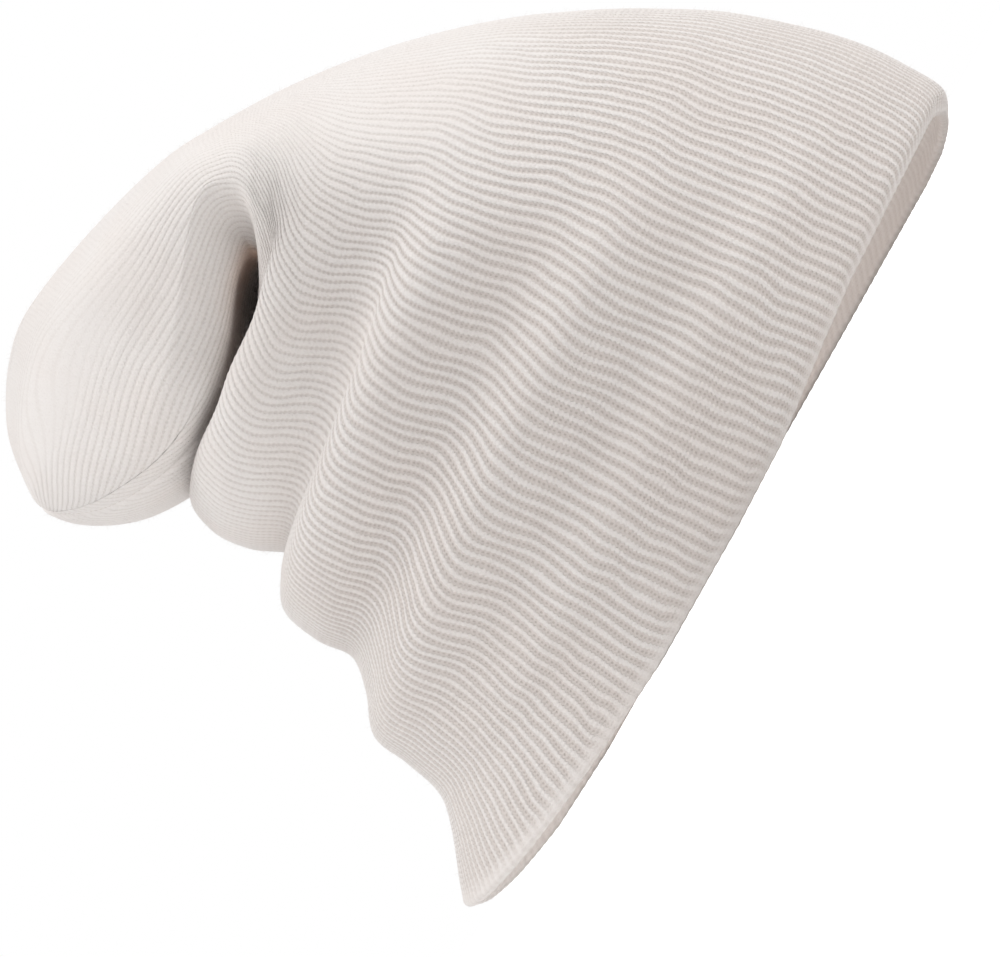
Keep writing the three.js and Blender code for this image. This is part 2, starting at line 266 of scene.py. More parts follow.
def clothGrid(rows):
    # points, their angles on the section in degrees, and each ring's length
    sections = catmull(hatForm["rows"], rows)
    sweep = np.linspace(0, 2 * np.pi, hatForm["sweepSteps"])
    brimAngles, brimHeights = np.array(hatForm["brimHeights"], float).T
    wideRows, edgeRows = hatForm["sagRows"]
    points = np.zeros((len(rows), columnCount, 3))
    degrees = np.zeros((len(rows), columnCount))
    lengths = np.zeros(len(rows))
    for k, row in enumerate(rows):
        curve = sectionCurve(sections[k], sweep)
        run = np.concatenate([[0], np.cumsum(np.linalg.norm(np.diff(curve, axis=0), axis=1))])
        angle = np.interp((arcShare(ribShares, row) % 1.0) * run[-1], run, sweep)
        point = sectionCurve(sections[k], angle)
        chord = sectionCurve(hatForm["rows"][0], angle)[:, 2]
        wideSag = -chord * np.sin(angle) ** 2
        edgeSag = np.interp(np.degrees(angle), brimAngles, brimHeights) - chord
        point[:, 2] += wideSag * ease(1 - row / wideRows) + (edgeSag - wideSag) * ease(1 - row / edgeRows)
        points[k], degrees[k], lengths[k] = point, np.degrees(angle), run[-1]
    return points, degrees, lengths


def gridNormals(points):
    along = np.gradient(points, axis=0)
    around = np.roll(points, -1, 1) - np.roll(points, 1, 1)
    return unit(np.cross(along, around))


def foldHeights(rows, degrees):
    side = np.minimum(degrees, 360 - degrees)
    far = degrees > 180
    height = np.zeros(degrees.shape)
    for row, rise, width, start, full, fade, end, farShare, farShift in hatForm["folds"]:
        q = (rows[:, None] - row - far * farShift) / width
        reach = plateau(side, start, full, fade, end)
        height += rise * np.exp(-q * q) * reach * np.where(far, farShare, 1)
    for angle, rise, width, start, full, fade, end in hatForm["lengthFolds"]:
        q = (side - angle) / width
        height += rise * np.exp(-q * q) * plateau(rows, start, full, fade, end)[:, None]
    return height


def blurred(field, rowReach, columnReach):
    # two rounds of plain means, brought to a spread of 1
    for reach, axis in ((rowReach, 0), (columnReach, 1), (rowReach, 0), (columnReach, 1)):
        field = sum(np.roll(field, shift, axis) for shift in range(-reach, reach + 1))
    return field / field.std()


def ribDrift(rows, lengths):
    # ribs leave their straight course: they fan out on the hanging end, lean at the brim and wander
    firstRow, fullRow = ribCourse["fanRows"]
    fan = ease((rows - firstRow) / (fullRow - firstRow))
    fan *= np.minimum(1, lengths / np.interp(darts["row"], rows, lengths))
    spread = plateau(np.minimum(ribShares, 1 - ribShares), *ribCourse["fanShares"])
    spread *= ribCourse["fanShift"] * np.where(ribShares < 0.5, 1, -1)
    noise = np.random.default_rng(ribCourse["wobbleSeed"]).normal(size=(len(rows), columnCount))
    fine, wide = ribCourse["wobbleReach"]
    wobble = (blurred(noise, *fine) + blurred(noise[::-1], *wide)) * ribCourse["wobble"]
    left = ribCourse["wobbleLeft"]
    calming = 1 - ease((rows - firstRow) / ribCourse["wobbleFade"])
    wobble *= (calming * (1 - left) + left * (rows < ribCourse["wobbleLastRow"]))[:, None]
    leanRows, leanShares = np.array(ribCourse["brimLean"]).T
    lean = np.interp(rows, leanRows, leanShares)[:, None] * np.sin(2 * np.pi * ribShares)[None, :]
    return (fan[:, None] * spread[None, :] + lean) * knitting["ribs"] + wobble


def ribNumbers(rows, lengths):
    # past the darts' start the ribs run into the seams, so their count falls with the ring's length
    table = np.tile(ribShares * knitting["ribs"], (len(rows), 1))
    startLength = np.interp(darts["row"], rows, lengths)
    fine = np.linspace(*darts["searchShares"])
    gores = len(darts["shares"])
    for k, row in enumerate(rows):
        if row <= darts["row"]:
            continue
        share = arcShare(ribShares, row)
        centre = arcShare(np.round(ribShares * gores) / gores, row)
        opened = centre + (share - centre) * lengths[k] / startLength
        table[k] = np.interp(opened, arcShare(fine, row), fine) * knitting["ribs"]
    return table


def seamGap(row, seamShare):
    # how far each column is from a seam, as a share of its ring
    return np.abs((arcShare(ribShares, row) % 1.0 - seamShare + 0.5) % 1.0 - 0.5)


def dartDistance(rows, lengths):
    # millimetres from each point to the nearest closing seam
    distance = np.full((len(rows), columnCount), darts["noSeam"])
    lead, fadeRows = darts["startRows"]
    for k, row in enumerate(rows):
        if row <= darts["row"] - darts["leadRows"]:
            continue
        for seamShare in darts["shares"]:
            distance[k] = np.minimum(distance[k], seamGap(row, seamShare) * lengths[k])
        distance[k] += darts["startGap"] * float(ease((darts["row"] + lead - row) / fadeRows))
    return distance


rowColumn = rowsUp[:, None]
basePoints, baseDegrees, ringLengths = clothGrid(rowsUp)
cloth = basePoints + gridNormals(basePoints) * foldHeights(rowsUp, baseDegrees)[..., None]
ribTable = ribNumbers(rowsUp, ringLengths) + ribDrift(rowsUp, ringLengths)
seamDip = np.exp(-(dartDistance(rowsUp, ringLengths) / darts["dipWidth"]) ** 2)
seamDip = seamDip * ease((rowColumn - darts["row"] + darts["dipLead"]) / darts["dipRows"])
cloth = cloth - gridNormals(cloth) * (darts["depth"] * seamDip)[..., None]
cloth = cloth + np.array(hatForm["centreShift"])
sideDegrees = np.minimum(baseDegrees, 360 - baseDegrees)
mirror = np.where((baseDegrees > 180)[..., None], (1, -1, 1), (1, 1, 1))

# The pocket under the hanging end is drawn tight below a small drop-shaped hole, and its deep cloth
# gets painted brown shade. Each line moves the cloth about one place: row, reach, angle, reach, and
# mm on the near side. The crease at the top of the crown is eased from the front to the fade's angle.
pocket = {
    "lips": (
        (14.2, 1.8, 98.0, 12.0, (1.6, 1.2, -2.8)),
        (14.0, 1.2, 120.0, 13.0, (1.0, 0.0, -1.8)),
        (17.3, 2.0, 87.0, 11.0, (0.0, -4.2, 0.0)),
        (18.3, 2.6, 133.0, 14.0, (0.0, -11.0, 0.0)),
        (20.8, 1.2, 116.0, 12.0, (0.6, -2.5, -1.0)),
        (22.6, 1.7, 126.0, 12.0, (0.7, -5.5, -1.3)),
    ),
    # where the deep pocket cloth gets painted brown shade
    "shade": (18.6, 2.6, 130.0, 16.0),  # row, reach, angle, reach
    "crease": (13.8, 3.2, 14),  # row, reach and blur in rows
    "creaseFade": (94, 16),  # angle of the end, and the angle over which it fades
}


def nearPlace(row, rowReach, degree, degreeReach, rowPower=2, degreePower=2):
    down = ((rowColumn - row) / rowReach) ** rowPower
    return np.exp(-down - ((sideDegrees - degree) / degreeReach) ** degreePower)


for row, rowReach, degree, degreeReach, shift in pocket["lips"]:
    share = nearPlace(row, rowReach, degree, degreeReach)
    cloth = cloth + share[..., None] * np.array(shift) * mirror
softRow, softReach, softRows = pocket["crease"]
softShare = np.exp(-((rowColumn - softRow) / softReach) ** 4)
softShare = softShare * ease((pocket["creaseFade"][0] - sideDegrees) / pocket["creaseFade"][1])
smoother = sum(np.roll(cloth, shift, 0) for shift in range(-softRows, softRows + 1)) / (2 * softRows + 1)
cloth = cloth + softShare[..., None] * (smoother - cloth)
clothNormals = gridNormals(cloth)
rowLengths = np.linalg.norm(np.diff(cloth, axis=0), axis=-1).mean(1)
courseAtRow = np.concatenate([[0], np.cumsum(rowLengths)]) / knitting["courseStep"]
print("stage: cloth surface", cloth.shape, "courses", round(float(courseAtRow[-1])))

# The wall turns in at the brim with a round edge.
brimEdge = {
    "wall": 2.4,  # mm
    "radius": 1.2,  # mm
    "steps": 7,
    "innerRows": (12, 9, 6, 3, 1),
    "courses": 3.0,  # stitches round the edge
    "smoothing": 24,  # rounds for the directions of the wall's inner side
}


def smoothedNormals(normals, rounds):
    for _ in range(rounds):
        below = np.vstack([normals[:1], normals[:-1]])
        above = np.vstack([normals[1:], normals[-1:]])
        normals = (below + above + np.roll(normals, 1, 1) + np.roll(normals, -1, 1)) / 4
    return unit(normals)


wallNormals = smoothedNormals(clothNormals, brimEdge["smoothing"])


def brimRows():
    # rows of the turned brim edge, from inside the hat round the edge to the outer face
    up = unit(cloth[1] - cloth[0])
    out = unit(clothNormals[0] - up * (clothNormals[0] * up).sum(-1, keepdims=True))
    centre = cloth[0] - out * brimEdge["radius"]
    points, normals, courses = [], [], []
    for index in brimEdge["innerRows"]:
        points.append(cloth[index] - wallNormals[index] * brimEdge["wall"])
        normals.append(-wallNormals[index])
        courses.append(-brimEdge["courses"] - courseAtRow[index])
    for angle in np.linspace(math.pi, 0, brimEdge["steps"] + 1)[:-1]:
        direction = out * math.cos(angle) - up * math.sin(angle)
        points.append(centre + direction * brimEdge["radius"])
        normals.append(direction)
        courses.append(-brimEdge["courses"] * angle / math.pi)
    return np.array(points), np.array(normals), np.array(courses)


edgePoints, edgeNormals, edgeCourses = brimRows()

# How far the ribs stand out, as a share: by row, and less where the cloth is taut or pressed. The same
# share scales the painted shade in the grooves and holes.
calm = {
    "rows": (
        (0, 0.15), (0.3, 0.45), (0.65, 0.9), (8, 0.88), (12, 0.7), (16, 0.55), (20, 0.36), (24, 0.42),
        (30, 0.4),
    ),
    "dipLoss": 0.75,
    "patch": (24.3, 2.8, 78.0, 15.0),  # row, reach, angle, reach on the hanging end
    "patchLoss": 0.8,
    "frontDegrees": (80, 25),  # angle where it ends, and the angle over which it fades
    "frontRows": (7, 5),  # row where it starts, and rows to its full share
    "frontLoss": 0.55,
    "backDegrees": (85, 20),  # angle and row where it starts, each with the reach to its full share
    "backRows": (8, 3),
    "backLastRow": 19,
    "backLoss": 0.3,
    "tipRows": (0.1, 1.6),  # rows past the last one, and rows over which the ribs run out
}


def rising(value, start, over):
    return ease((value - start) / over)


calmRows, calmShares = np.array(calm["rows"]).T
reliefShare = np.interp(rowsUp, calmRows, calmShares)[:, None] * (1 - calm["dipLoss"] * seamDip)
reliefShare *= 1 - calm["patchLoss"] * nearPlace(*calm["patch"], 4, 2)
frontCalm = ease((calm["frontDegrees"][0] - sideDegrees) / calm["frontDegrees"][1])
reliefShare *= 1 - calm["frontLoss"] * frontCalm * rising(rowColumn, *calm["frontRows"])
backCalm = rising(sideDegrees, *calm["backDegrees"]) * rising(rowColumn, *calm["backRows"])
reliefShare *= 1 - calm["backLoss"] * backCalm * (rowColumn < calm["backLastRow"])
reliefShare *= ease((knitting["lastRow"] + calm["tipRows"][0] - rowColumn) / calm["tipRows"][1])
# share of painted brown shade deep in the pocket
pocketShade = nearPlace(*pocket["shade"], 4, 4)
openRow, closedRow = knitting["openRows"]
openShare = 1 - ease((rowsUp - openRow) / (closedRow - openRow))


def withEdge(table):
    # the turned edge takes the values of the first row
    return np.concatenate([np.repeat(table[:1], len(edgePoints), 0), table])


fullPoints = np.concatenate([edgePoints, cloth])
fullNormals = np.concatenate([edgeNormals, clothNormals])
fullCourses = np.concatenate([edgeCourses, courseAtRow])
fullRibs, fullRelief, fullShade, fullOpen = map(withEdge, (ribTable, reliefShare, pocketShade, openShare))


def gridMesh(name, points, normals, ribs, courses, relief, opened, shade, tip=None):
    # open grid of quads with its knit attributes; a tip point closes the last row
    rowCount, count = points.shape[:2]
    vertices = points.reshape(-1, 3) * mm
    a = (np.arange(rowCount - 1)[:, None] * count + np.arange(count - 1)[None, :]).ravel()
    faces = np.stack([a, a + count, a + count + 1, a + 1], -1).tolist()
    lift = normals.reshape(-1, 3)
    fields = {
        "rib": ribs.ravel(),
        "course": np.repeat(courses, count),
        "relief": relief.ravel(),
        "open": np.repeat(opened, count),
        "shade": shade.ravel(),
    }
    if tip is not None:
        last = (rowCount - 1) * count
        faces += [[last + j, len(vertices), last + j + 1] for j in range(count - 1)]
        vertices = np.vstack([vertices, np.array(tip)[None] * mm])
        lift = np.vstack([lift, lift[-1:]])  # moves nothing, because the tip has no relief
        tipValues = (ribs[-1, -1], courses[-1] + 1, 0.0, opened[-1], 0.0)
        fields = {key: np.append(fields[key], value) for key, value in zip(fields, tipValues)}
    mesh = bpy.data.meshes.new(name)
    mesh.from_pydata(vertices.tolist(), [], faces)
    for key, values in fields.items():
        field = mesh.attributes.new(key, "FLOAT", "POINT")
        field.data.foreach_set("value", values.astype(np.float32))
    field = mesh.attributes.new("lift", "FLOAT_VECTOR", "POINT")
    field.data.foreach_set("vector", lift.astype(np.float32).ravel())
    loops = np.zeros(len(mesh.loops), np.int32)
    mesh.loops.foreach_get("vertex_index", loops)
    knitMap = np.stack([fields["rib"][loops], fields["course"][loops]], -1)
    mesh.uv_layers.new(name="knitMap").data.foreach_set("uv", knitMap.astype(np.float32).ravel())
    mesh.polygons.foreach_set("use_smooth", np.ones(len(mesh.polygons), bool))
    mesh.update()
    return addObject(name, mesh)


# Small helpers for node trees. A source is an output socket or a plain value.
def link(tree, source, socket):
    if hasattr(source, "is_output"):
        tree.links.new(source, socket)
    else:
        socket.default_value = source


def addNode(tree, kind, inputs=None, **settings):
    node = tree.nodes.new(kind)
    for name, value in settings.items():
        setattr(node, name, value)
    for key, source in (inputs or {}).items():
        link(tree, source, node.inputs[key])
    return node


def calc(tree, operation, *values):
    return addNode(tree, "ShaderNodeMath", dict(enumerate(values)), operation=operation).outputs[0]


def attributeOf(tree, name, kind="FLOAT"):
    node = addNode(tree, "GeometryNodeInputNamedAttribute", {"Name": name}, data_type=kind)
    return node.outputs["Attribute"]


def newTree(name, kind, inputs, outputs):
    tree = bpy.data.node_groups.new(name, kind)
    for label, socketKind, value in inputs:
        socket = tree.interface.new_socket(label, in_out="INPUT", socket_type="NodeSocket" + socketKind)
        if value is not None:
            socket.default_value = value
    for label, socketKind in outputs:
        tree.interface.new_socket(label, in_out="OUTPUT", socket_type="NodeSocket" + socketKind)
    return tree, tree.nodes.new("NodeGroupInput"), tree.nodes.new("NodeGroupOutput")


def newShapeTree(name, inputs):
    inputs = (("Geometry", "Geometry", None),) + inputs + (("Material", "Material", None),)
    return newTree(name, "GeometryNodeTree", inputs, (("Geometry", "Geometry"),))


def closeShapeTree(tree, source, sink, geometry):
    real = addNode(tree, "GeometryNodeRealizeInstances", {"Geometry": geometry})
    paint = addNode(tree, "GeometryNodeSetMaterial", {
        "Geometry": real.outputs["Geometry"],
        "Material": source.outputs["Material"],
    })
    link(tree, paint.outputs["Geometry"], sink.inputs["Geometry"])


def grow(piece, tree, values):
    # runs the tree on the piece and keeps the result as a plain mesh
    modifier = piece.modifiers.new(tree.name, "NODES")
    modifier.node_group = tree
    for item in tree.interface.items_tree:
        if item.in_out == "INPUT" and item.name in values:
            modifier[item.identifier] = values[item.name]
    graph = bpy.context.evaluated_depsgraph_get()
    result = bpy.data.meshes.new_from_object(piece.evaluated_get(graph), depsgraph=graph)
    piece.modifiers.remove(modifier)
    old = piece.data
    piece.data = result
    result.name = piece.name
    bpy.data.meshes.remove(old)


# Ribs: each point is lifted along the cloth's own direction by the rounded profile of its rib.
def ribTree():
    tree, source, sink = newShapeTree("ribRelief", (
        ("Rib Height", "Float", 0.001),
        ("Closed Roundness", "Float", 0.7),
        ("Open Roundness", "Float", 1.6),
        ("Sink", "Float", 0.6),
        ("Unevenness", "Float", 0.1),
        ("Patch Size", "Float", 0.01),
        ("Seed", "Float", 0.0),
    ))
    given = source.outputs
    turn = calc(tree, "MULTIPLY", attributeOf(tree, "rib"), math.pi)
    wave = calc(tree, "ABSOLUTE", calc(tree, "SINE", turn))
    widening = calc(tree, "SUBTRACT", given["Open Roundness"], given["Closed Roundness"])
    power = calc(tree, "MULTIPLY_ADD", attributeOf(tree, "open"), widening, given["Closed Roundness"])
    profile = calc(tree, "POWER", calc(tree, "MAXIMUM", wave, 0.0001), power)  # clear of 0
    noise = addNode(tree, "ShaderNodeTexNoise", {
        "Vector": tree.nodes.new("GeometryNodeInputPosition").outputs["Position"],
        "Scale": calc(tree, "DIVIDE", 1.0, given["Patch Size"]),
        "W": given["Seed"],
    }, noise_dimensions="4D")
    uneven = calc(tree, "SUBTRACT", noise.outputs[0], 0.5)
    share = calc(tree, "MULTIPLY_ADD", uneven, given["Unevenness"], 1.0)
    raised = calc(tree, "SUBTRACT", calc(tree, "MULTIPLY", profile, share), given["Sink"])
    height = calc(tree, "MULTIPLY", raised, given["Rib Height"])
    height = calc(tree, "MULTIPLY", height, attributeOf(tree, "relief"))
    lift = attributeOf(tree, "lift", "FLOAT_VECTOR")
    offset = addNode(tree, "ShaderNodeVectorMath", {0: lift, "Scale": height}, operation="SCALE")
    moved = addNode(tree, "GeometryNodeSetPosition", {
        "Geometry": given["Geometry"],
        "Offset": offset.outputs[0],
    })
    closeShapeTree(tree, source, sink, moved.outputs["Geometry"])
    return tree


# Shader groups: the stitch pattern reads ribs and courses, the wool grain reads the place on the hat.
# A rib is 1 wide, its crest is at side 0 and its grooves are at side 0.5.
stitchShape = {
    "patchScale": 0.35,
    "courseShift": 4.0,  # courses that full disorder moves a stitch
    "legPower": 0.6,
    "middle": 0.08,  # half width of the dip down the middle of a rib
    "middleDip": 0.35,
    "edgeBlur": 0.06,
    "holeSides": (0.38, 0.47),
    "holeBeats": (0.35, 0.85),
    "purlHeight": 0.3,
    "holeDrop": 0.4,
}


def stepUp(tree, value, low, high):
    limits = {"Value": value, "From Min": low, "From Max": high}
    node = addNode(tree, "ShaderNodeMapRange", limits, interpolation_type="SMOOTHSTEP")
    return node.outputs["Result"]


def stitchGroup(shape):
    tree, source, sink = newTree("stitchPattern", "ShaderNodeTree", (
        ("Knit Map", "Vector", None),
        ("Rib Half Width", "Float", 0.3),
        ("Edge Wave", "Float", 0.05),
        ("Leg Slant", "Float", 1.3),
        ("Disorder", "Float", 0.25),
    ), (("Height", "Float"), ("Ridge", "Float"), ("Hole", "Float")))
    given = source.outputs
    place = {"Vector": given["Knit Map"], "Scale": shape["patchScale"]}
    noise = addNode(tree, "ShaderNodeTexNoise", place)
    split = addNode(tree, "ShaderNodeSeparateXYZ", {0: given["Knit Map"]})
    shift = calc(tree, "MULTIPLY", calc(tree, "SUBTRACT", noise.outputs[0], 0.5), given["Disorder"])
    rib = calc(tree, "FRACT", split.outputs["X"])
    side = calc(tree, "ABSOLUTE", calc(tree, "SUBTRACT", rib, 0.5))
    course = calc(tree, "ADD", split.outputs["Y"], calc(tree, "MULTIPLY", shift, shape["courseShift"]))
    beat = calc(tree, "COSINE", calc(tree, "MULTIPLY", course, 2 * math.pi))
    # legs of the knit stitches lean away from the middle of the rib
    lean = calc(tree, "MULTIPLY", side, given["Leg Slant"])
    legTurn = calc(tree, "MULTIPLY", calc(tree, "SUBTRACT", course, lean), 2 * math.pi)
    leg = calc(tree, "MULTIPLY_ADD", calc(tree, "COSINE", legTurn), 0.5, 0.5)
    leg = calc(tree, "POWER", leg, shape["legPower"])
    middle = stepUp(tree, side, 0.0, shape["middle"])
    middle = calc(tree, "MULTIPLY_ADD", middle, shape["middleDip"], 1 - shape["middleDip"])
    leg = calc(tree, "MULTIPLY", leg, middle)
    edge = calc(tree, "MULTIPLY_ADD", beat, given["Edge Wave"], given["Rib Half Width"])
    inner = calc(tree, "SUBTRACT", edge, shape["edgeBlur"])
    outside = stepUp(tree, side, inner, calc(tree, "ADD", edge, shape["edgeBlur"]))
    ridge = calc(tree, "SUBTRACT", 1.0, outside)
    # small loops and holes between the ribs
    gapBeat = calc(tree, "MULTIPLY_ADD", beat, -0.5, 0.5)
    deep = stepUp(tree, side, *shape["holeSides"])
    holeShadeColour = calc(tree, "MULTIPLY", deep, stepUp(tree, gapBeat, *shape["holeBeats"]))
    knitHeight = calc(tree, "MULTIPLY", ridge, calc(tree, "MULTIPLY_ADD", leg, 0.5, 0.5))
    purl = calc(tree, "MULTIPLY_ADD", gapBeat, -shape["purlHeight"], shape["purlHeight"])
    height = calc(tree, "ADD", knitHeight, calc(tree, "MULTIPLY", outside, purl))
    height = calc(tree, "SUBTRACT", height, calc(tree, "MULTIPLY", holeShadeColour, shape["holeDrop"]))
    for label, value in (("Height", height), ("Ridge", ridge), ("Hole", holeShadeColour)):
        link(tree, value, sink.inputs[label])
    return tree


def woolGroup():
    tree, source, sink = newTree("woolGrain", "ShaderNodeTree", (
        ("Place", "Vector", None),
        ("Fibre Scale", "Float", 2600.0),
        ("Cloud Scale", "Float", 45.0),
    ), (("Fuzz", "Float"), ("Cloud", "Float")))
    for label, scale, detail in (("Fuzz", "Fibre Scale", 3.0), ("Cloud", "Cloud Scale", 2.0)):
        inputs = {"Vector": source.outputs["Place"], "Scale": source.outputs[scale], "Detail": detail}
        noise = addNode(tree, "ShaderNodeTexNoise", inputs)
        link(tree, noise.outputs[0], sink.inputs[label])
    return tree


stitches, wool = stitchGroup(stitchShape), woolGroup()


def placeGroup(tree, group, values):
    return addNode(tree, "ShaderNodeGroup", values, node_tree=group).outputs


def grainOf(tree):
    place = tree.nodes.new("ShaderNodeTexCoord")
    return placeGroup(tree, wool, {"Place": place.outputs["Object"]})


def mixColours(tree, share, first, second):
    return addNode(tree, "ShaderNodeMix", {0: share, 6: first, 7: second}, data_type="RGBA").outputs[2]


def fieldOf(tree, name):
    return addNode(tree, "ShaderNodeAttribute", attribute_name=name).outputs["Fac"]


def bumpOf(tree, height, distance):
    return addNode(tree, "ShaderNodeBump", {"Height": height, "Distance": distance})


yarn = {"sheenRoughness": 0.5, "specular": 0.2}  # the same for all the yarn


def softMaterial(name, look):
    material = bpy.data.materials.new(name)
    material.use_nodes = True
    shader = material.node_tree.nodes["Principled BSDF"]
    shader.inputs["Roughness"].default_value = look["roughness"]
    shader.inputs["Sheen Weight"].default_value = look["sheen"]
    shader.inputs["Sheen Roughness"].default_value = yarn["sheenRoughness"]
    shader.inputs["Specular IOR Level"].default_value = yarn["specular"]
    return material, material.node_tree, shader


# Off-white rib knit: pale crests, warmer painted shade in the grooves, darker painted shade in the small
# holes between the loops, and painted brown shade deep in the pocket.
knitLook = {
    "crest": (0.80, 0.76, 0.735, 1.0),
    # painted shade in the grooves between the ribs; random wool specks take the same colour
    "groove": (0.66, 0.60, 0.565, 1.0),
    # painted shade in the small holes between the loops
    "holeShadeColour": (0.40, 0.34, 0.30, 1.0),
    "warm": (0.79, 0.74, 0.71, 1.0),
    # painted brown shade deep in the pocket, and its share
    "pocket": (0.74, 0.53, 0.42, 1.0),
    "pocketShadeShare": 0.9,
    "cloudLimits": (0.35, 0.7),
    "roughness": 0.95,
    "sheen": 0.2,
    "stitchDepth": 0.00028,  # metres
    "fuzzDepth": 0.00012,
    "holeShade": 0.45,
    "closedHole": 0.35,  # share of the hole's shade left where the ribs are closed
    "speckShare": 0.35,
    "speckLimits": (0.5, 0.72),
    "closedHalfWidth": 0.36,
    "openHalfWidth": 0.22,
}


def knitMaterial(look):
    material, tree, shader = softMaterial("offWhiteKnit", look)
    knitMap = addNode(tree, "ShaderNodeUVMap", uv_map="knitMap")
    opening, relief = fieldOf(tree, "open"), fieldOf(tree, "relief")
    narrowing = look["openHalfWidth"] - look["closedHalfWidth"]
    halfWidth = calc(tree, "MULTIPLY_ADD", opening, narrowing, look["closedHalfWidth"])
    stitch = placeGroup(tree, stitches, {"Knit Map": knitMap.outputs["UV"], "Rib Half Width": halfWidth})
    grain = grainOf(tree)
    cloud = stepUp(tree, grain["Cloud"], *look["cloudLimits"])
    crest = mixColours(tree, cloud, look["crest"], look["warm"])
    # painted shade in the grooves, scaled by the relief; random wool specks mix in the same colour
    grooveShade = calc(tree, "MULTIPLY", calc(tree, "SUBTRACT", 1.0, stitch["Ridge"]), relief)
    speck = calc(tree, "MULTIPLY", stepUp(tree, grain["Fuzz"], *look["speckLimits"]), look["speckShare"])
    colour = mixColours(tree, speck, mixColours(tree, grooveShade, crest, look["groove"]), look["groove"])
    # painted shade in the holes between the loops, less where the ribs are closed
    holeDepth = calc(tree, "MULTIPLY_ADD", opening, 1 - look["closedHole"], look["closedHole"])
    holeShadeShare = calc(tree, "MULTIPLY", calc(tree, "MULTIPLY", stitch["Hole"], relief), look["holeShade"])
    holeShadeShare = calc(tree, "MULTIPLY", holeShadeShare, holeDepth)
    colour = mixColours(tree, holeShadeShare, colour, look["holeShadeColour"])
    # painted brown shade deep in the pocket
    pocketShadeMix = calc(tree, "MULTIPLY", fieldOf(tree, "shade"), look["pocketShadeShare"])
    colour = mixColours(tree, pocketShadeMix, colour, look["pocket"])
    link(tree, colour, shader.inputs["Base Color"])
    stitchBump = bumpOf(tree, calc(tree, "MULTIPLY", stitch["Height"], relief), look["stitchDepth"])
    fuzzBump = bumpOf(tree, grain["Fuzz"], look["fuzzDepth"])
    link(tree, stitchBump.outputs["Normal"], fuzzBump.inputs["Normal"])
    link(tree, fuzzBump.outputs["Normal"], shader.inputs["Normal"])
    return material


ribShape = ribTree()
ribProfile = {
    "Rib Height": 0.52 * mm,  # from groove to crest
    "Closed Roundness": 0.75,
    "Open Roundness": 1.7,
    "Sink": 0.5,
    "Unevenness": 0.6,
    "Patch Size": 0.009,
    "Seed": 3.0,
    "Material": knitMaterial(knitLook),
}


def dress(piece, slotName, *nodes):
    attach(piece, "root")
    if nodes:
        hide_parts(*nodes)


def buildOuterSectors():
    tip = fullPoints[-1].mean(0) + np.array(knitting["tipOffset"])
    perSector = knitting["ribs"] // knitting["sectors"] * knitting["columnsPerRib"]
    for k in range(knitting["sectors"]):
        columns = (np.arange(k * perSector, (k + 1) * perSector + 1)) % columnCount
        ribs = fullRibs[:, columns].copy()
        if k == knitting["sectors"] - 1:
            ribs[:, -1] += knitting["ribs"]
        sector = gridMesh("knitSide%d" % (k + 1), fullPoints[:, columns], fullNormals[:, columns], ribs,
                          fullCourses, fullRelief[:, columns], fullOpen, fullShade[:, columns], tip)
        grow(sector, ribShape, ribProfile)
        dress(sector, "knit", "knit_shell")
        print("stage: outer knit", k + 1, "faces", len(sector.data.polygons))


buildOuterSectors()

lining = {
    "rowStep": 2,
    "columnStep": 3,
    "firstIndex": 8,
    "lastIndex": 282,
    "depth": 2.2,  # mm from the outer face
    "relief": 0.6,
    "open": 0.5,
}


def buildLining():
    rows = np.arange(lining["firstIndex"], lining["lastIndex"], lining["rowStep"])
    columns = np.arange(0, columnCount + 1, lining["columnStep"]) % columnCount
    pick = np.ix_(rows, columns)
    points = cloth[pick] - wallNormals[pick] * lining["depth"]
    ribs = ribTable[pick].copy()
    ribs[:, -1] += knitting["ribs"]
    relief = reliefShare[pick] * lining["relief"]
    # the inside is seen from within, so the columns run the other way round
    flipped = [table[:, ::-1] for table in (points, -wallNormals[pick], ribs, relief)]
    opened = np.full(len(rows), lining["open"])
    piece = gridMesh("knitInside", *flipped[:3], courseAtRow[rows], flipped[3], opened,
                     np.zeros(relief.shape), points[-1].mean(0))
    grow(piece, ribShape, ribProfile)
    dress(piece, "knit", "knit_shell")


buildLining()
print("stage: inner knit")

# Closing seams of the crown: a thread in the dip of each dart, with a bead of yarn at each stitch.
# Lengths are in metres.
seams = {
    "firstRow": 23.4,
    "lastRow": 29.3,
    "smoothing": 4,  # rounds
    "threadRadius": 0.00028,
    "threadSides": 6,
    "stitchStep": 0.0018,
    "stitchLength": 0.0020,
    "stitchRadius": 0.00036,
    "stitchFaces": (8, 5),  # segments and rings of a bead
    "lift": -0.00022,  # along the cloth's normal
    "colour": (0.78, 0.73, 0.69, 1.0),
    "shadow": (0.56, 0.50, 0.46, 1.0),
    "fuzzLimits": (0.35, 0.65),
    "fuzzDepth": 0.0002,
    "roughness": 0.95,
    "sheen": 0.2,
}


def seamMaterial(look):
    material, tree, shader = softMaterial("sewnYarn", look)
    fuzz = grainOf(tree)["Fuzz"]
    colour = mixColours(tree, stepUp(tree, fuzz, *look["fuzzLimits"]), look["shadow"], look["colour"])
    link(tree, colour, shader.inputs["Base Color"])
    link(tree, bumpOf(tree, fuzz, look["fuzzDepth"]).outputs["Normal"], shader.inputs["Normal"])
    return material


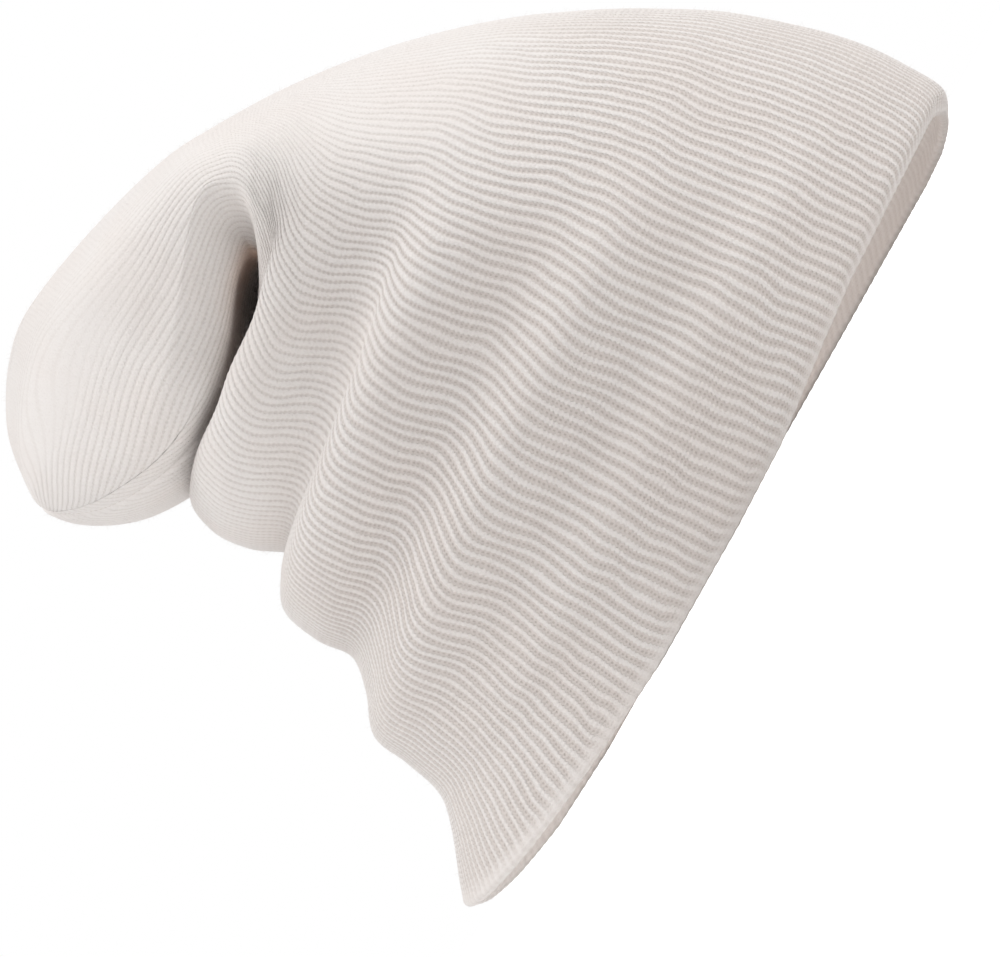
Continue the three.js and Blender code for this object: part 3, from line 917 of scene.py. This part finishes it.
def seamTree():
    tree, source, sink = newShapeTree("seamStitches", (
        ("Thread Radius", "Float", 0.0003),
        ("Stitch Step", "Float", 0.002),
        ("Stitch Length", "Float", 0.002),
        ("Stitch Radius", "Float", 0.0003),
    ))
    given = source.outputs
    path = addNode(tree, "GeometryNodeMeshToCurve", {"Mesh": given["Geometry"]}).outputs["Curve"]
    profile = addNode(tree, "GeometryNodeCurvePrimitiveCircle", {
        "Resolution": seams["threadSides"],
        "Radius": given["Thread Radius"],
    })
    thread = addNode(tree, "GeometryNodeCurveToMesh", {
        "Curve": path,
        "Profile Curve": profile.outputs["Curve"],
        "Fill Caps": True,
    })
    spread = addNode(tree, "GeometryNodeCurveToPoints", {
        "Curve": path,
        "Length": given["Stitch Step"],
    }, mode="LENGTH")
    segments, rings = seams["stitchFaces"]
    bead = addNode(tree, "GeometryNodeMeshUVSphere", {"Segments": segments, "Rings": rings, "Radius": 1.0})
    size = addNode(tree, "ShaderNodeCombineXYZ", {
        "X": given["Stitch Radius"],
        "Y": given["Stitch Radius"],
        "Z": calc(tree, "MULTIPLY", given["Stitch Length"], 0.5),
    })
    beads = addNode(tree, "GeometryNodeInstanceOnPoints", {
        "Points": spread.outputs["Points"],
        "Instance": bead.outputs["Mesh"],
        "Rotation": spread.outputs["Rotation"],
        "Scale": size.outputs["Vector"],
    })
    join = tree.nodes.new("GeometryNodeJoinGeometry")
    link(tree, thread.outputs["Mesh"], join.inputs["Geometry"])
    link(tree, beads.outputs["Instances"], join.inputs["Geometry"])
    closeShapeTree(tree, source, sink, join.outputs["Geometry"])
    return tree


def buildSeams():
    tree = seamTree()
    values = {
        "Thread Radius": seams["threadRadius"],
        "Stitch Step": seams["stitchStep"],
        "Stitch Length": seams["stitchLength"],
        "Stitch Radius": seams["stitchRadius"],
        "Material": seamMaterial(seams),
    }
    picked = np.where((rowsUp >= seams["firstRow"]) & (rowsUp <= seams["lastRow"]))[0]
    for k, seamShare in enumerate(darts["shares"]):
        line = []
        for index in picked:
            column = int(np.argmin(seamGap(rowsUp[index], seamShare)))
            line.append(cloth[index, column] * mm + clothNormals[index, column] * seams["lift"])
        line = np.array(line)
        for _ in range(seams["smoothing"]):
            line[1:-1] = (line[:-2] + line[2:] + 2 * line[1:-1]) / 4
        mesh = bpy.data.meshes.new("dartSeam%d" % (k + 1))
        mesh.from_pydata(line.tolist(), [(i, i + 1) for i in range(len(line) - 1)], [])
        piece = addObject(mesh.name, mesh)
        grow(piece, tree, values)
        dress(piece, "seam", "dart_seam_%d" % (k + 1))


buildSeams()
print("stage: seams")

# Loose fibres that stand a little off the yarn. Lengths are in metres.
fibres = {
    "density": 90000.0,  # hairs for each square metre
    "length": 0.0016,
    "radius": 0.000022,
    "tilt": 1.25,  # greatest lean to any side, in radians
    "turn": 6.28,  # about its own length
    "sizes": (0.5, 1.3),  # least and greatest share of the length
    "seed": 11,
    "rowStep": 2,
    "columnStep": 6,
    "offset": 0.1,  # mm off the cloth
    "colour": (0.86, 0.83, 0.80, 1.0),
    "roughness": 0.9,
    "sheen": 0.3,
}


def fibreTree():
    tree, source, sink = newShapeTree("looseFibres", (
        ("Density", "Float", 1000.0),
        ("Hair Length", "Float", 0.0016),
        ("Hair Radius", "Float", 0.00002),
        ("Seed", "Int", 1),
    ))
    given = source.outputs
    scatter = addNode(tree, "GeometryNodeDistributePointsOnFaces", {
        "Mesh": given["Geometry"],
        "Density": given["Density"],
        "Seed": given["Seed"],
    })
    hair = addNode(tree, "GeometryNodeMeshCone", {
        "Vertices": 3,
        "Radius Bottom": given["Hair Radius"],
        "Depth": given["Hair Length"],
    })
    tilt = addNode(tree, "FunctionNodeRandomValue", {
        0: (-fibres["tilt"], -fibres["tilt"], 0.0),
        1: (fibres["tilt"], fibres["tilt"], fibres["turn"]),
        "Seed": given["Seed"],
    }, data_type="FLOAT_VECTOR")
    turned = addNode(tree, "FunctionNodeRotateRotation", {
        "Rotation": scatter.outputs["Rotation"],
        "Rotate By": tilt.outputs[0],
    }, rotation_space="LOCAL")
    low, high = fibres["sizes"]
    size = addNode(tree, "FunctionNodeRandomValue", {2: low, 3: high, "Seed": given["Seed"]})
    hairs = addNode(tree, "GeometryNodeInstanceOnPoints", {
        "Points": scatter.outputs["Points"],
        "Instance": hair.outputs["Mesh"],
        "Rotation": turned.outputs["Rotation"],
        "Scale": size.outputs[1],
    })
    closeShapeTree(tree, source, sink, hairs.outputs["Instances"])
    return tree


def buildFibres():
    material, tree, shader = softMaterial("looseFibre", fibres)
    tint = mixColours(tree, grainOf(tree)["Cloud"], fibres["colour"], knitLook["warm"])
    link(tree, tint, shader.inputs["Base Color"])
    columns = np.arange(0, columnCount + 1, fibres["columnStep"]) % columnCount
    rows = np.arange(0, len(rowsUp), fibres["rowStep"])
    pick = np.ix_(rows, columns)
    points = cloth[pick] + clothNormals[pick] * fibres["offset"]
    shell = gridMesh("looseFibres", points, clothNormals[pick], ribTable[pick], courseAtRow[rows],
                     reliefShare[pick], np.zeros(len(rows)), reliefShare[pick])
    grow(shell, fibreTree(), {
        "Density": fibres["density"],
        "Hair Length": fibres["length"],
        "Hair Radius": fibres["radius"],
        "Seed": fibres["seed"],
        "Material": material,
    })
    dress(shell, "knit")
    print("stage: fibres", len(shell.data.polygons))


buildFibres()

studio = {
    "floorSize": 8.0,
    "floorDrop": 0.0002,
    "floorColour": (0.93, 0.93, 0.93, 1.0),
    "floorRoughness": 0.9,
    "floorLift": 0.75,  # light that the floor gives to the camera alone
    "white": (1.0, 1.0, 1.0, 1.0),
    "worldStrength": 0.575,
    "backdropStrength": 1.0,
    "lamps": (
        ("topLamp", (-0.10, -0.40, 1.20), 0.6, 5.8),
        ("frontLamp", (1.20, -0.10, 0.55), 0.6, 5.7),
        ("backLamp", (-1.20, -0.10, 0.45), 0.6, 3.0),
    ),
    "lampTarget": (0.0, 0.0, 0.07),
    "glowRadius": 0.02,
    "glows": (((0.02, 0.0, 0.05), 0.045), ((-0.06, 0.0, 0.04), 0.045)),
}


def buildFloor():
    half, z = studio["floorSize"] / 2, -studio["floorDrop"]
    mesh = bpy.data.meshes.new("floor")
    corners = [(-half, -half, z), (half, -half, z), (half, half, z), (-half, half, z)]
    mesh.from_pydata(corners, [], [(0, 1, 2, 3)])
    floor = addObject("floor", mesh)
    material = bpy.data.materials.new("paleFloor")
    material.use_nodes = True
    tree = material.node_tree
    shader = tree.nodes["Principled BSDF"]
    shader.inputs["Base Color"].default_value = studio["floorColour"]
    shader.inputs["Roughness"].default_value = studio["floorRoughness"]
    shader.inputs["Emission Color"].default_value = studio["white"]
    toCamera = tree.nodes.new("ShaderNodeLightPath").outputs["Is Camera Ray"]
    link(tree, calc(tree, "MULTIPLY", toCamera, studio["floorLift"]), shader.inputs["Emission Strength"])
    mesh.materials.append(material)


def buildWorld():
    world = bpy.data.worlds.new("studioWorld")
    world.use_nodes = True
    tree = world.node_tree
    sky = tree.nodes["Background"]
    sky.inputs["Color"].default_value = studio["white"]
    toCamera = tree.nodes.new("ShaderNodeLightPath").outputs["Is Camera Ray"]
    extra = studio["backdropStrength"] - studio["worldStrength"]
    strength = calc(tree, "MULTIPLY_ADD", toCamera, extra, studio["worldStrength"])
    link(tree, strength, sky.inputs["Strength"])
    bpy.context.scene.world = world


def buildLamps():
    for name, place, size, power in studio["lamps"]:
        data = bpy.data.lights.new(name, "AREA")
        data.size = size
        data.energy = power
        lamp = addObject(name, data)
        lamp.location = place
        lamp.rotation_mode = "QUATERNION"
        away = Vector(place) - Vector(studio["lampTarget"])
        lamp.rotation_quaternion = away.to_track_quat("Z", "Y")
    # light that a thin knit lets through to its inside
    for place, power in studio["glows"]:
        data = bpy.data.lights.new("insideGlow", "POINT")
        data.shadow_soft_size = studio["glowRadius"]
        data.energy = power
        addObject("insideGlow", data).location = place


buildFloor()
buildWorld()
buildLamps()
bpy.context.scene.view_settings.view_transform = "Standard"
print("stage: studio")
